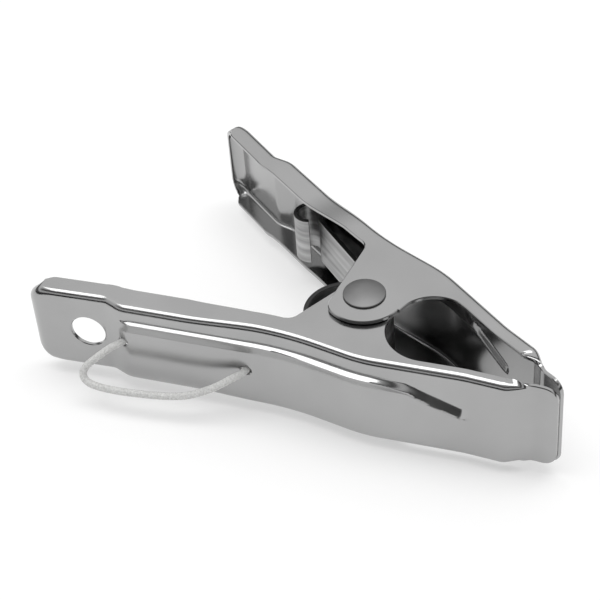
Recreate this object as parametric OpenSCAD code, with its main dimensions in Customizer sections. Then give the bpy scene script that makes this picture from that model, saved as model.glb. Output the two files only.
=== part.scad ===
// Tarp clip: two pressed steel levers on a rivet, closed by a rolled band spring,
// with a cord loop on one handle.
// It lies on its side: the rivet stands upright (+Z), the jaws point along +X, the front lever is at -Y.

/* [Sheet] */
// Thickness of the pressed sheet
sheet_t = 1.2; // [0.9:0.1:1.5]
// Outer radius of the bend between web and flange
bend_r = 2.4; // [2:0.1:3]
// Depth of the flanges where the handle meets the ears
root_flange = 6.8; // [6:0.1:7.6]
// Depth of the flanges along the handle
handle_flange = 8.4; // [7:0.1:9.4]
// Depth of the flanges on the handle's tip
tip_flange = 6.6; // [5.6:0.1:7.6]
// Depth of the front lever's flanges along the jaw
jaw_flange = 3.7; // [3.2:0.1:4.6]
// Depth of the rear lever's flanges along the jaw
rear_jaw_flange = 5.2; // [4.4:0.1:6]

/* [Lever side profile] */
// Distance from the rivet to the end of the jaw
jaw_reach = 63.2; // [58:0.2:70]
// Gap between the closed jaws at their ends
jaw_gap = 0.4; // [0.3:0.1:1]
// Length of the flat lip at the jaw's end
lip_len = 7; // [6.4:0.1:9]
// Slope of the lip
lip_angle = 14; // [8:1:18]
// Length of the steep nose behind the lip
nose_len = 7.5; // [6.5:0.1:9]
// Slope of the nose
nose_angle = 45; // [38:1:50]
// Length of the jaw's front stretch
jaw_front_len = 11.6; // [9:0.1:15]
// Slope of the jaw's front stretch
jaw_front_angle = 15; // [11:0.5:18]
// Length of the jaw's rear stretch
jaw_len = 28.6; // [24:0.2:33]
// Slope of the jaw's rear stretch
jaw_angle = 20; // [17:0.5:23]
// Length of the shoulder beside the rivet
shoulder_len = 24; // [20:0.1:28]
// Slope of the shoulder
shoulder_angle = 7; // [4:0.5:9]
// Length of the straight handle
handle_len = 48.6; // [42:0.2:56]
// Slope of the handle
handle_angle = 19.8; // [17:0.2:23]
// Length of the step in front of the tip
step_len = 5.9; // [5.4:0.1:8]
// Slope of the step
step_angle = -4.4; // [-7:0.2:2]
// Length of the handle's tip, up to the corner of its rolled end
tip_len = 23.6; // [21:0.1:28]
// Slope of the tip
tip_angle = 21.4; // [19:0.2:25]
// Radius of the tip's rolled end
tip_roll_r = 5; // [4.6:0.1:6.4]
// Turn of the tip's rolled end
tip_roll = 80; // [60:1:85]
// Narrowing of each side of the tip's rolled end, which rounds its corners
tip_corner = 3.4; // [2:0.1:4.4]

/* [Lever width] */
// Width of the front lever at the rivet
pivot_w = 30; // [28:0.2:34]
// Width of both levers along the handle
handle_w = 28; // [25:0.2:29]
// Width of the front lever's lip
lip_w = 28.2; // [26:0.2:30]
// Radius of the lip's corners
lip_corner_r = 4; // [1:0.1:5]

/* [Ears] */
// Radius of the ear round the rivet
ear_r = 11.3; // [10:0.1:13]
// Distance from the rivet back to the ear's rear edge
ear_back = 8.3; // [7.6:0.1:9.4]
// Lean of the ear's rear edge
ear_lean = 12; // [8:0.5:15]
// Radius of the fillet between ear and handle flange
ear_fillet_r = 3.5; // [2:0.1:5]
// Distance from the rivet to the middle of the throat's round end
throat_x = 22.5; // [21:0.1:25]
// Clearance between the front and the rear ears
ear_gap = 0.3; // [0.2:0.05:0.5]

/* [Bead] */
// Height of the stiffening bead
bead_h = 1.1; // [0.6:0.1:1.4]
// Width of the bead
bead_w = 4; // [3:0.1:4.6]
// Distance of the bead from the middle of the web
bead_from_mid = 7.2; // [6.6:0.1:7.6]
// Distance that the bead runs down at its jaw end
bead_run_down = 6.4; // [3:0.1:7]

/* [Holes] */
// Diameter of the hang hole
hang_d = 10.4; // [8:0.1:12]
// Distance from the step's corner to the middle of the hang hole
hang_from_step = 6.2; // [6.1:0.1:8]
// Diameter of the cord holes
cord_hole_d = 3.2; // [2.8:0.1:4]

/* [Rivet] */
// Diameter of the rivet's shank
shank_d = 6; // [5:0.1:7]
// Diameter of the rivet's heads
head_d = 12; // [10:0.1:14]
// Height of the rivet's heads
head_h = 1.6; // [1.4:0.1:2.4]
// Play of the rear ears on the shank, on the radius
rivet_play = 0.05; // [0.02:0.01:0.1]
// Play under the rivet's heads
head_play = 0.1; // [0.05:0.05:0.3]

/* [Spring] */
// Thickness of the spring band
band_t = 1.3; // [1:0.1:1.5]
// Width of the spring band
band_w = 16; // [14:0.5:18]
// Width of the narrow leg that passes through a window in the band
narrow_w = 7; // [6:0.5:8]
// Gap between the narrow leg and the window's edges
window_gap = 0.6; // [0.5:0.05:0.65]
// Gap between the two turns of the roll
turn_gap = 0.7; // [0.5:0.1:1]
// Inner radius of the roll
roll_r = 9.7; // [9:0.1:11]
// Gap between the roll and the rivet
roll_gap = 0.3; // [0.2:0.1:0.5]
// Distance from the rivet back to where the eyes at the legs' ends meet the handles
leg_reach = 39.5; // [36:0.5:43]
// Radius of the eyes, at the middle of the band
eye_r = 4; // [3.4:0.1:4.4]
// Distance of an eye's middle from the line of its leg
eye_off = 1.2; // [0.8:0.1:1.6]
// Gap between the eyes and the handles
eye_gap = 0.3; // [0.2:0.1:0.5]

/* [Cord] */
// Diameter of the cord
cord_d = 2.3; // [1.8:0.1:2.6]
// Diameter of the stopper knots
knot_d = 5.4; // [5:0.1:6]
// Thickness of the stopper knots
knot_t = 3.4; // [3:0.1:4]

/* [Hidden] */
$fn = 64;
rad = 180 / PI;

// Half widths of the two levers at the rivet and at the lip
front_hw = pivot_w / 2;
rear_hw = front_hw + sheet_t + ear_gap;
handle_hw = handle_w / 2;
lip_hw = lip_w / 2;
rear_lip_hw = lip_hw + sheet_t;

// Stretches of the web from the jaw's end to the handle's tip:
// length, slope, radius of the bend that follows
stretches = [
    [lip_len, lip_angle, 4],
    [nose_len, nose_angle, 5.5],
    [jaw_front_len, jaw_front_angle, 40],
    [jaw_len, jaw_angle, 45],
    [shoulder_len, shoulder_angle, 90],
    [handle_len, handle_angle, 9],
    [step_len, step_angle, 4],
    [tip_len, tip_angle, tip_roll_r],
    [tip_roll_r * tan(tip_roll / 2) + 0.1, tip_angle - tip_roll, 0]
];
last = len(stretches) - 1;
function slope(i) = stretches[i][1];
function turn(i) = i < 0 || i == last ? 0 : slope(i + 1) - slope(i);
function tangent(i) = i < 0 || i == last ? 0 : stretches[i][2] * tan(abs(turn(i)) / 2);

// The same web as alternate lines and arcs: length and curvature in degrees per mm
runs = [
    for (i = [0:last])
        for (part = [0:1])
            part == 0 ? [stretches[i][0] - tangent(i - 1) - tangent(i), 0]
            : i == last ? [0, 0]
            : [stretches[i][2] * abs(turn(i)) / rad, sign(turn(i)) * rad / stretches[i][2]]
];

// Where a run that starts at [x, y, slope] has come to after a length
function go(from, run_len, curve) =
    let(to = from[2] + run_len * curve)
    curve == 0
        ? [from[0] - run_len * cos(to), from[1] + run_len * sin(to), to]
        : [
            from[0] - (sin(to) - sin(from[2])) * rad / curve,
            from[1] - (cos(to) - cos(from[2])) * rad / curve,
            to
        ];
web_start = [jaw_reach, jaw_gap / 2 + sheet_t * cos(lip_angle), lip_angle];
function starts(i = 0, from = web_start, s = 0) =
    i == len(runs) ? []
    : concat([concat(from, s)], starts(i + 1, go(from, runs[i][0], runs[i][1]), s + runs[i][0]));
run_starts = starts();
web_len = run_starts[len(runs) - 1][3];
function run_of(s) = max([for (i = [0:len(runs) - 1]) if (i == 0 || run_starts[i][3] <= s) i]);
// The web's outer face at a distance along it: [x, y, slope]
function web(s) = let(i = run_of(s)) go(run_starts[i], s - run_starts[i][3], runs[i][1]);
// A point that lies a depth inside the outer face
function inside(s, depth) = let(w = web(s)) [w[0] - depth * sin(w[2]), w[1] - depth * cos(w[2])];

// Distances along the web of the bends' ends
lip_s = lip_len - tangent(0);
nose_s = run_starts[2][3];
jaw_front_s = run_starts[4][3];
shoulder_s = run_starts[8][3];
handle_s = run_starts[10][3];
step_s = run_starts[12][3];
tip_s = run_starts[14][3];
tip_roll_s = run_starts[15][3];
roll_flange = 0.74 * tip_roll_r;
flange_end_s = nose_s - 1;
widen_len = 20;
bead_taper = 17;
bead_start_s = jaw_front_s + 8.5;
bead_end_s = step_s - 1.2;
bead_round = 2.4;

// Smooth steps and slopes between two values
function part_way(x, a, b) = min(1, max(0, (x - a) / (b - a)));
function smooth(x, a, b) = let(u = part_way(x, a, b)) u * u * (3 - 2 * u);
function mix(a, b, u) = a + (b - a) * u;

// Half width, flange depth, and the bead's height, half width and place along the web
function half_width(s, hw, lip) =
    mix(
        mix(lip, hw, smooth(s, nose_s, jaw_front_s)),
        handle_hw,
        smooth(s, handle_s - 3, handle_s + widen_len)
    ) - tip_corner * (1 - cos(90 * part_way(s, tip_roll_s - 1, web_len)));
function flange(s, jaw) =
    s < shoulder_s ? mix(bend_r + 0.2, jaw, sqrt(part_way(s, flange_end_s, flange_end_s + 2.5)))
    : s < handle_s ? mix(jaw, root_flange, part_way(s, shoulder_s, shoulder_s + 6))
    : s < step_s ? mix(root_flange, handle_flange, part_way(s, handle_s, handle_s + widen_len))
    : s < tip_s ? mix(handle_flange, tip_flange, part_way(s, step_s, tip_s))
    : mix(tip_flange, roll_flange, part_way(s, tip_roll_s - 2, tip_roll_s));
function bead_run(s) = part_way(s, bead_start_s, bead_start_s + bead_taper);
function bead_end(s) =
    let(u = part_way(s, bead_end_s - bead_round, bead_end_s))
    sqrt(max(0, 1 - u * u));
function bead_up(s) = bead_h * smooth(bead_run(s), 0, 0.25) * bead_end(s);
function bead_half(s) = bead_w / 2 * mix(0.6, 1, smooth(bead_run(s), 0, 0.8));
// Past the bead's end its points draw in, clear of the tip's rounded corners
function bead_z(s) =
    bead_from_mid - bead_run_down * (1 - bead_run(s))
    - tip_corner * part_way(s, bead_end_s, tip_roll_s);

// Section of the channel at a distance along the web, as [depth, height] round the sheet
bend_steps = 3;
bead_steps = [1, 0.5, 0, -0.5, -1];
function bead_pts(s, d) =
    [for (u = bead_steps) [d - bead_up(s) * (1 + cos(180 * u)) / 2, bead_z(s) + u * bead_half(s)]];
function bend_pts(h, r) =
    [for (k = [0:bend_steps]) let(a = 90 * k / bend_steps)
        [bend_r - r * sin(a), h - bend_r + r * cos(a)]];
function backwards(list) = [for (i = [len(list) - 1:-1:0]) list[i]];
function below(list) = [for (p = backwards(list)) [p[0], -p[1]]];
function section(s, h, jaw) =
    let(
        edge_out = [flange(s, jaw), h],
        edge_in = [flange(s, jaw), h - sheet_t],
        out = concat([edge_out], bend_pts(h, bend_r)),
        in = concat([edge_in], bend_pts(h, bend_r - sheet_t))
    )
    concat(out, bead_pts(s, 0), below(out), backwards(concat(in, bead_pts(s, sheet_t), below(in))));

// Distances along the web at which the channel has a section: bends, tapers and the bead's ends
function arc_stops(i) =
    let(n = max(1, ceil(abs(turn((i - 1) / 2)) / 9)))
    [for (k = [0:n]) run_starts[i][3] + runs[i][0] * k / n];
loft_start = flange_end_s;
all_stops = concat(
    [loft_start, web_len],
    [for (i = [1:2:len(runs) - 2]) each arc_stops(i)],
    [for (k = [0:5]) bead_start_s + bead_taper * k / 5],
    [for (k = [0:3]) bead_end_s - bead_round * k / 3],
    [for (k = [1:3]) mix(nose_s, jaw_front_s, k / 4)],
    [for (k = [1:5]) mix(handle_s - 3, handle_s + widen_len, k / 6)],
    [shoulder_s + 6, tip_roll_s - 2],
    [for (k = [0:3]) flange_end_s + 2.5 * k * k / 9],
    [tip_roll_s - 1]
);
function sorted(v) =
    len(v) < 2 ? v
    : let(p = v[floor(len(v) / 2)])
      concat(sorted([for (x = v) if (x < p) x]), [p], sorted([for (x = v) if (x > p) x]));
least_step = 0.25;
function thinned(v, i = 0, kept = -1) =
    i == len(v) ? []
    : v[i] - kept < least_step ? thinned(v, i + 1, kept)
    : concat([v[i]], thinned(v, i + 1, v[i]));
stops = thinned([for (s = sorted(all_stops)) if (s >= loft_start) s]);

// Rings of points joined into one closed skin; a channel's ends are closed from its outside to its inside
function wall_faces(rings, n) =
    [for (i = [0:rings - 2]) for (j = [0:n - 1]) let(k = (j + 1) % n)
        each [[i * n + j, (i + 1) * n + k, i * n + k], [i * n + j, (i + 1) * n + j, (i + 1) * n + k]]];
function strip_end(n, at) =
    [for (j = [0:n / 2 - 2]) [at + j, at + j + 1, at + n - 2 - j, at + n - 1 - j]];
function channel_faces(rings, n) = concat(
    strip_end(n, 0),
    [for (f = strip_end(n, (rings - 1) * n)) backwards(f)],
    wall_faces(rings, n)
);
function tube_faces(rings, n) = concat(
    [[for (j = [0:n - 1]) j]],
    [backwards([for (j = [0:n - 1]) (rings - 1) * n + j])],
    wall_faces(rings, n)
);
module channel(hw, lip, jaw) {
    rings = [for (s = stops) let(w = web(s)) [for (p = section(s, half_width(s, hw, lip), jaw)) [
        w[0] - p[0] * sin(w[2]), w[1] - p[0] * cos(w[2]), p[1]
    ]]];
    polyhedron([for (r = rings) each r], channel_faces(len(rings), len(rings[0])), convexity = 10);
}

// A frame on the web: x runs along it towards the handle's tip, y out of it, and z is the clip's own z
module on_web(s) {
    w = web(s);
    translate([w[0], w[1], 0]) rotate(180 - w[2]) mirror([0, 1, 0]) children();
}

// The throat's round end touches the inner edge of the jaw flange
jaw_mid_s = run_starts[6][3];
throat_mid = [throat_x, 0.8];
function off_web(p, s) = let(w = web(s)) (w[0] - p[0]) * sin(w[2]) + (w[1] - p[1]) * cos(w[2]);
throat_room = off_web(throat_mid, jaw_mid_s);

// Corner between the ear's rear edge and the handle flange's inner edge, and its fillet
flange_edge = inside(handle_s - 7, root_flange);
flange_way = inside(handle_s - 1, root_flange) - flange_edge;
flange_dir = flange_way / norm(flange_way);
ear_foot = [-ear_back, 0];
ear_dir = [-sin(ear_lean), cos(ear_lean)];
function cross2(a, b) = a[0] * b[1] - a[1] * b[0];
ear_corner =
    ear_foot + ear_dir * cross2(flange_edge - ear_foot, flange_dir) / cross2(ear_dir, flange_dir);
fillet_half = acos(-(ear_dir * flange_dir)) / 2;
fillet_way = (flange_dir - ear_dir) / norm(flange_dir - ear_dir);
fillet_mid = ear_corner + fillet_way * ear_fillet_r / sin(fillet_half);
fillet_from = atan2(-fillet_way[1], -fillet_way[0]);
// The two ends of the fillet lie just inside the edges that it joins
fillet_steps = 8;
fillet_pts = [for (k = [0:fillet_steps])
    let(
        a = fillet_from + (90 - fillet_half) * (2 * k / fillet_steps - 1),
        r = ear_fillet_r + (k == 0 || k == fillet_steps ? 0.02 : 0)
    )
    fillet_mid + r * [cos(a), sin(a)]];

module ear_outline(jaw) {
    ear_low = ear_foot - ear_dir * ear_r * 2;
    throat_r = throat_room - jaw;
    throat_top = throat_mid + throat_r * [sin(jaw_angle), cos(jaw_angle)];
    difference() {
        union() {
            intersection() {
                union() {
                    circle(ear_r);
                    polygon([
                        [0, 0], [ear_r, 0], throat_mid, throat_top,
                        for (s = [jaw_mid_s, shoulder_s, (shoulder_s + handle_s) / 2, handle_s])
                            inside(s, bend_r),
                        fillet_mid, ear_foot - [ear_back, 0]
                    ]);
                }
                polygon([
                    ear_corner + flange_dir * 9, ear_corner, ear_low,
                    [60, ear_low[1]], [60, 40], [-20, 40]
                ]);
            }
            polygon(concat([ear_corner - fillet_way * 2], fillet_pts));
        }
        translate(throat_mid) circle(throat_r);
    }
}

// The lip and the nose up to the flanges: a flat strip with rounded corners that follows the web
strip_end_s = flange_end_s + 0.8;
strip_stops = thinned(concat(
    [for (k = [0:5]) lip_corner_r * (1 - cos(18 * k))],
    [for (s = concat(arc_stops(1), [strip_end_s])) if (s <= strip_end_s) s]
));
function corner_cut(s) =
    let(u = max(0, lip_corner_r - s))
    lip_corner_r - sqrt(lip_corner_r * lip_corner_r - u * u);
module lip_strip(lip) {
    rings = [for (s = strip_stops) let(w = web(s), h = lip - corner_cut(s))
        [for (p = [[0, h], [0, -h], [sheet_t, -h], [sheet_t, h]])
            [w[0] - p[0] * sin(w[2]), w[1] - p[0] * cos(w[2]), p[1]]]];
    polyhedron([for (r = rings) each r], channel_faces(len(rings), 4), convexity = 4);
}

// One lever, with its web on the +Y side of the rivet; shank_room is the radius of its bores
module lever(hw, lip, jaw, shank_room) {
    difference() {
        union() {
            channel(hw, lip, jaw);
            lip_strip(lip);
            for (side = [-1, 1])
                translate([0, 0, side * (hw - sheet_t / 2)])
                    linear_extrude(sheet_t, center = true) ear_outline(jaw);
        }
        cylinder(r = shank_room, h = 3 * hw, center = true);
    }
}
module web_hole(s, d, z) {
    on_web(s) translate([0, 0, z]) rotate([90, 0, 0]) cylinder(d = d, h = 8, center = true);
}

// Places of the holes along the front web and up from its middle
hang_s = tip_s - tangent(6) + hang_from_step;
hang_z = 0.5;
tip_hole_s = (run_starts[11][3] + run_starts[12][3]) / 2;
tip_hole_z = 0.8;
pivot_hole_s = handle_s + 1.5;
pivot_hole_z = -1.8;

// The lowest point is the far rivet head, and the middle of the length is over the origin
mid_z = rear_hw + head_play + head_h;
mid_x = (jaw_reach + web(web_len)[0]) / 2;
module placed() {
    translate([-mid_x, 0, mid_z]) children();
}

module front_lever() {
    color("silver") placed() mirror([0, 1, 0]) difference() {
        lever(front_hw, lip_hw, jaw_flange, shank_d / 2);
        web_hole(hang_s, hang_d, hang_z);
        web_hole(tip_hole_s, cord_hole_d, tip_hole_z);
        web_hole(pivot_hole_s, cord_hole_d, pivot_hole_z);
    }
}

module rear_lever() {
    color("silver") placed() lever(rear_hw, rear_lip_hw, rear_jaw_flange, shank_d / 2 + rivet_play);
}

// Rivet: a shank with a low dome at each end
dome_h = 0.75 * head_h;
dome_r = (head_d * head_d / 4 + dome_h * dome_h) / (2 * dome_h);
module rivet_head() {
    intersection() {
        cylinder(d = head_d, h = head_h);
        translate([0, 0, head_h - dome_r]) sphere(dome_r, $fn = 128);
    }
}
module pivot_rivet() {
    color("gainsboro") placed() {
        cylinder(d = shank_d, h = 2 * (rear_hw + head_play) + 0.4, center = true);
        for (side = [0, 1])
            mirror([0, 0, side]) translate([0, 0, rear_hw + head_play]) rivet_head();
    }
}

// Spring band: its middle line as [x, y, heading], from the rear eye through the roll to the front eye
roll_mid = [shank_d / 2 + roll_gap - roll_r, 0];
inner_r = roll_r + band_t / 2;
outer_r = inner_r + band_t + turn_gap;
// The leg's end stands off the handle so that its eye just clears the web
eye_room = sheet_t + eye_gap + band_t / 2 + eye_r;
function web_at_x(x, s0 = handle_s, s1 = step_s) =
    let(m = (s0 + s1) / 2) s1 - s0 < 0.001 ? m : web(m)[0] > x ? web_at_x(x, m, s1) : web_at_x(x, s0, m);
eye_mid = inside(web_at_x(-leg_reach), eye_room);
// The leg runs along a line that touches the roll and passes the eye's middle on the handle's side
function leg_heading(r) =
    let(d = roll_mid - eye_mid) atan2(d[1], d[0]) + asin((r - eye_off) / norm(d));
rear_heading = leg_heading(outer_r);
front_heading = leg_heading(inner_r);
rear_angle = rear_heading + 90;
front_angle = front_heading + 90;
wrap = 360 + rear_angle + front_angle;
spiral_from = rear_angle + front_angle + 20;
narrow_from = 352;
full_to = 372;
function roll_radius(w) = mix(outer_r, inner_r, part_way(w, spiral_from, 355));
function roll_pt(w) =
    let(a = rear_angle - w, r = roll_radius(w))
    [roll_mid[0] + r * cos(a), roll_mid[1] + r * sin(a), a - 90];
// An eye is most of a circle, and a bend of the other hand leads from it into the leg
eye_turn = 290;
neck_r = 4;
neck = acos((eye_off + neck_r) / (eye_r + neck_r));
neck_reach = (eye_r + neck_r) * sin(neck);
function eye_circle(heading) =
    [for (k = [0:20]) let(a = heading + 90 - neck + eye_turn * (1 - k / 20))
        [eye_mid[0] + eye_r * cos(a), eye_mid[1] + eye_r * sin(a), a - 90]];
function eye_neck(heading) =
    [for (k = [1:4]) let(
        b = neck * (1 - k / 4),
        u = neck_reach - neck_r * sin(b),
        v = eye_off + neck_r * (1 - cos(b)))
        [
            eye_mid[0] + u * cos(heading) - v * sin(heading),
            eye_mid[1] + u * sin(heading) + v * cos(heading),
            heading - b
        ]];
function eye_pts(heading) = concat(eye_circle(heading), eye_neck(heading));
function flipped(list) = [for (p = backwards(list)) [p[0], -p[1], 180 - p[2]]];
function turns(from, to) = [for (w = [from:10:to]) roll_pt(w), roll_pt(to)];
wide_line = concat(eye_pts(rear_heading), turns(0, full_to));
narrow_line = concat(turns(narrow_from, wrap), flipped(eye_pts(front_heading)));
function beside(line, d) = [for (p = line) [p[0] - d * sin(p[2]), p[1] + d * cos(p[2])]];
module band(line, thick = band_t) {
    polygon(concat(beside(line, thick / 2), backwards(beside(line, -thick / 2))));
}

// The narrow leg leaves the roll here, and crosses the outer turn a little further on
leave = roll_pt(wrap);
cross_at = sqrt(outer_r * outer_r - inner_r * inner_r);
function leg_pt(d) = [leave[0] + d * cos(leave[2]), leave[1] + d * sin(leave[2]), leave[2]];
window_line = [leg_pt(cross_at - 5), leg_pt(cross_at + 4.5)];
cross_wrap = rear_angle + front_angle + acos(inner_r / outer_r);

// Least gap of the band to itself, measured between points of its middle line that aren't neighbours
gap_line = [for (w = [0:4:wrap]) concat(roll_pt(w), w)];
function near_window(w) = abs(w - cross_wrap) < 40;
gaps = [
    for (i = [0:len(gap_line) - 1])
        for (j = [i + 1:1:len(gap_line) - 1])
            if (gap_line[j][3] - gap_line[i][3] > 90)
                norm([gap_line[i][0] - gap_line[j][0], gap_line[i][1] - gap_line[j][1]]) - band_t
];
leg_gaps = [
    for (d = [0:1:25]) for (g = gap_line)
        if (g[3] < 300 && !near_window(g[3])) norm([leg_pt(d)[0] - g[0], leg_pt(d)[1] - g[1]]) - band_t
];
eye_end = eye_circle(rear_heading)[0];
eye_gaps = [
    for (q = concat(eye_neck(rear_heading), [roll_pt(0)]))
        norm([q[0] - eye_end[0], q[1] - eye_end[1]]) - band_t
];
least_gap = min(min(gaps), min(leg_gaps), min(eye_gaps), window_gap);
echo(least_spring_gap_mm = least_gap);

module band_spring() {
    color("dimgray") placed() {
        difference() {
            linear_extrude(band_w, center = true) band(wide_line);
            linear_extrude(narrow_w + 2 * window_gap, center = true)
                band(window_line, band_t + 2 * window_gap);
        }
        linear_extrude(narrow_w, center = true) band(narrow_line);
    }
}

// Cord: it starts and ends on the inner faces of the front web, and its loop hangs outside
function front(s, out, z) = let(w = web(s)) [w[0] + out * sin(w[2]), -w[1] - out * cos(w[2]), z];
tip_hole = front(tip_hole_s, 0, tip_hole_z);
pivot_hole = front(pivot_hole_s, 0, pivot_hole_z);
handle_out = [sin(handle_angle), -cos(handle_angle), 0];
// Points of the loop: share of the way from hole to hole, distance out of the handle, distance down
loop = [
    [-0.06, 2, 0.4],
    [-0.14, 3.4, 2.8],
    [-0.23, 5, 5.7],
    [-0.29, 6.4, 8],
    [-0.29, 7.6, 10.3],
    [-0.19, 8.4, 11.6],
    [0.1, 8.6, 10.9],
    [0.51, 7.4, 8.8],
    [0.76, 5.2, 5],
    [0.91, 3, 1.4]
];
route = concat(
    [front(tip_hole_s, -sheet_t, tip_hole_z), front(tip_hole_s, 0.6, tip_hole_z)],
    [for (p = loop) tip_hole + (pivot_hole - tip_hole) * p[0] + handle_out * p[1] - [0, 0, p[2]]],
    [front(pivot_hole_s, 0.6, pivot_hole_z), front(pivot_hole_s, -sheet_t, pivot_hole_z)]
);
// A smooth line through the route's points
function at(i) = route[max(0, min(len(route) - 1, i))];
function curve_pt(i, u) =
    let(a = at(i - 1), b = at(i), c = at(i + 1), d = at(i + 2))
    (2 * b + (c - a) * u + (2 * a - 5 * b + 4 * c - d) * u * u + (3 * b - a - 3 * c + d) * u * u * u) / 2;
cord_steps = 4;
cord_line = concat(
    [route[0]],
    [for (i = [0:len(route) - 2]) for (k = [1:cord_steps]) curve_pt(i, k / cord_steps)]
);
cord_sides = 8;
function unit(v) = v / norm(v);
function cord_way(i) =
    i == 0 ? unit(route[1] - route[0])
    : i == len(cord_line) - 1 ? unit(route[len(route) - 1] - route[len(route) - 2])
    : unit(cord_line[i + 1] - cord_line[i - 1]);
// Each ring keeps the last ring's side direction as nearly as it can, so that the tube doesn't twist
function sides(i = 0, side = [0, 0, 1]) =
    let(w = cord_way(i), s = unit(side - w * (side * w)))
    i == len(cord_line) - 1 ? [s] : concat([s], sides(i + 1, s));
cord_side = sides();
cord_len = sum([for (i = [1:len(cord_line) - 1]) norm(cord_line[i] - cord_line[i - 1])]);
function sum(v, i = 0) = i == len(v) ? 0 : v[i] + sum(v, i + 1);
echo(cord_length_mm = cord_len);
module cord_loop() {
    rings = [for (i = [0:len(cord_line) - 1]) let(s = cord_side[i], o = cross(cord_way(i), s))
        [for (k = [0:cord_sides - 1]) let(a = 360 * k / cord_sides)
            cord_line[i] + (s * cos(a) + o * sin(a)) * cord_d / 2]];
    color("white") placed()
        polyhedron([for (r = rings) each r], tube_faces(len(rings), cord_sides), convexity = 6);
}

// A stopper knot is a round-edged disc that lies on the web's inner face
module knot(s, z) {
    edge = knot_t / 2;
    color("white") placed() mirror([0, 1, 0]) on_web(s) translate([0, -sheet_t, z]) rotate([90, 0, 0])
        rotate_extrude() {
            square([knot_d / 2 - edge, knot_t]);
            intersection() {
                translate([knot_d / 2 - edge, edge]) circle(edge);
                square(knot_d);
            }
        }
}
module tip_knot() {
    knot(tip_hole_s, tip_hole_z);
}
module pivot_knot() {
    knot(pivot_hole_s, pivot_hole_z);
}

front_lever();
rear_lever();
pivot_rivet();
band_spring();
cord_loop();
tip_knot();
pivot_knot();
echo(mid_x = mid_x, mid_z = mid_z, hang_hole = front(hang_s, -sheet_t / 2, hang_z));
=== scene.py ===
import math

import bmesh
import bpy
from mathutils import Matrix, Vector


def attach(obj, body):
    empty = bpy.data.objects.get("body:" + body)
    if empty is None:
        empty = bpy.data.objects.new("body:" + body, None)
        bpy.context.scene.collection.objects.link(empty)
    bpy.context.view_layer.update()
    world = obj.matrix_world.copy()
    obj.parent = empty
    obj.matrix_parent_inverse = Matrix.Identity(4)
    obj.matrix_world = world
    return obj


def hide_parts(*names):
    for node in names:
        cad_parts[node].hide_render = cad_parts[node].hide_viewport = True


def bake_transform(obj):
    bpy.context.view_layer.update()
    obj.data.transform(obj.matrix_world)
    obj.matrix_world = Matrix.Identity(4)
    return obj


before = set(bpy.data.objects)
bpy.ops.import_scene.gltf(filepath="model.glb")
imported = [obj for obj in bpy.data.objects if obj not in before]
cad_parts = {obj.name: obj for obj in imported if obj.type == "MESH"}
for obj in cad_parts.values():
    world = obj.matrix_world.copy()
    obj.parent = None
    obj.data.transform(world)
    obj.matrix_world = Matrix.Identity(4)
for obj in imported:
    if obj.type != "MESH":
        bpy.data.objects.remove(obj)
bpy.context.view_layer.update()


# Small helpers: angles in degrees, shares of a way

RAD = 180 / math.pi


def sind(a):
    return math.sin(math.radians(a))


def cosd(a):
    return math.cos(math.radians(a))


def tand(a):
    return math.tan(math.radians(a))


def part_way(x, a, b):
    return min(1.0, max(0.0, (x - a) / (b - a)))


def smooth(x, a, b):
    u = part_way(x, a, b)
    return u * u * (3 - 2 * u)


def mix(a, b, u):
    return a + (b - a) * u


def towards(a):
    """Unit vector in the plane at an angle in radians."""
    return Vector((math.cos(a), math.sin(a)))


def circle(n):
    """Cosine and sine of n even steps round a circle."""
    return [(math.cos(2 * math.pi * k / n), math.sin(2 * math.pi * k / n)) for k in range(n)]


# Sizes of the clip in mm and degrees, the same as in the part's source

SHEET_T = 1.2
BEND_R = 2.4
ROOT_FLANGE = 6.8
HANDLE_FLANGE = 8.4
TIP_FLANGE = 6.6
FRONT_JAW_FLANGE = 3.7
REAR_JAW_FLANGE = 5.2
JAW_REACH = 63.2
JAW_GAP = 0.4
LIP_ANGLE = 14.0
LIP_CORNER_R = 4.0
JAW_ANGLE = 20.0
HANDLE_ANGLE = 19.8
TIP_ANGLE = 21.4
TIP_ROLL_R = 5.0
TIP_ROLL = 80.0
TIP_CORNER = 3.4
TIP_END_FLAT = 0.1
EAR_GAP = 0.3
FRONT_HW = 15.0
REAR_HW = FRONT_HW + SHEET_T + EAR_GAP
HANDLE_HW = 14.0
FRONT_LIP_HW = 14.1
REAR_LIP_HW = FRONT_LIP_HW + SHEET_T
EAR_R = 11.3
EAR_BACK = 8.3
EAR_LEAN = 12.0
EAR_FILLET_R = 3.5
THROAT_MID = (22.5, 0.8)
BEAD_H = 1.1
BEAD_W = 4.0
BEAD_FROM_MID = 7.2
BEAD_RUN_DOWN = 6.4
BEAD_TAPER = 17.0
BEAD_ROUND = 2.4
WIDEN_LEN = 20.0
HANG_D = 10.4
HANG_FROM_STEP = 6.2
CORD_HOLE_D = 3.2
SHANK_D = 6.0
RIVET_PLAY = 0.05
HEAD_D = 12.0
HEAD_H = 1.6
HEAD_PLAY = 0.1
BAND_T = 1.3
BAND_W = 16.0
NARROW_W = 7.0
WINDOW_GAP = 0.6
TURN_GAP = 0.7
ROLL_R = 9.7
ROLL_GAP = 0.3
LEG_REACH = 39.5
EYE_R = 4.0
EYE_OFF = 1.2
EYE_GAP = 0.3
EYE_TURN = 290.0
NECK_R = 4.0
CORD_D = 2.3
KNOT_D = 5.4
KNOT_T = 3.4
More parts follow.
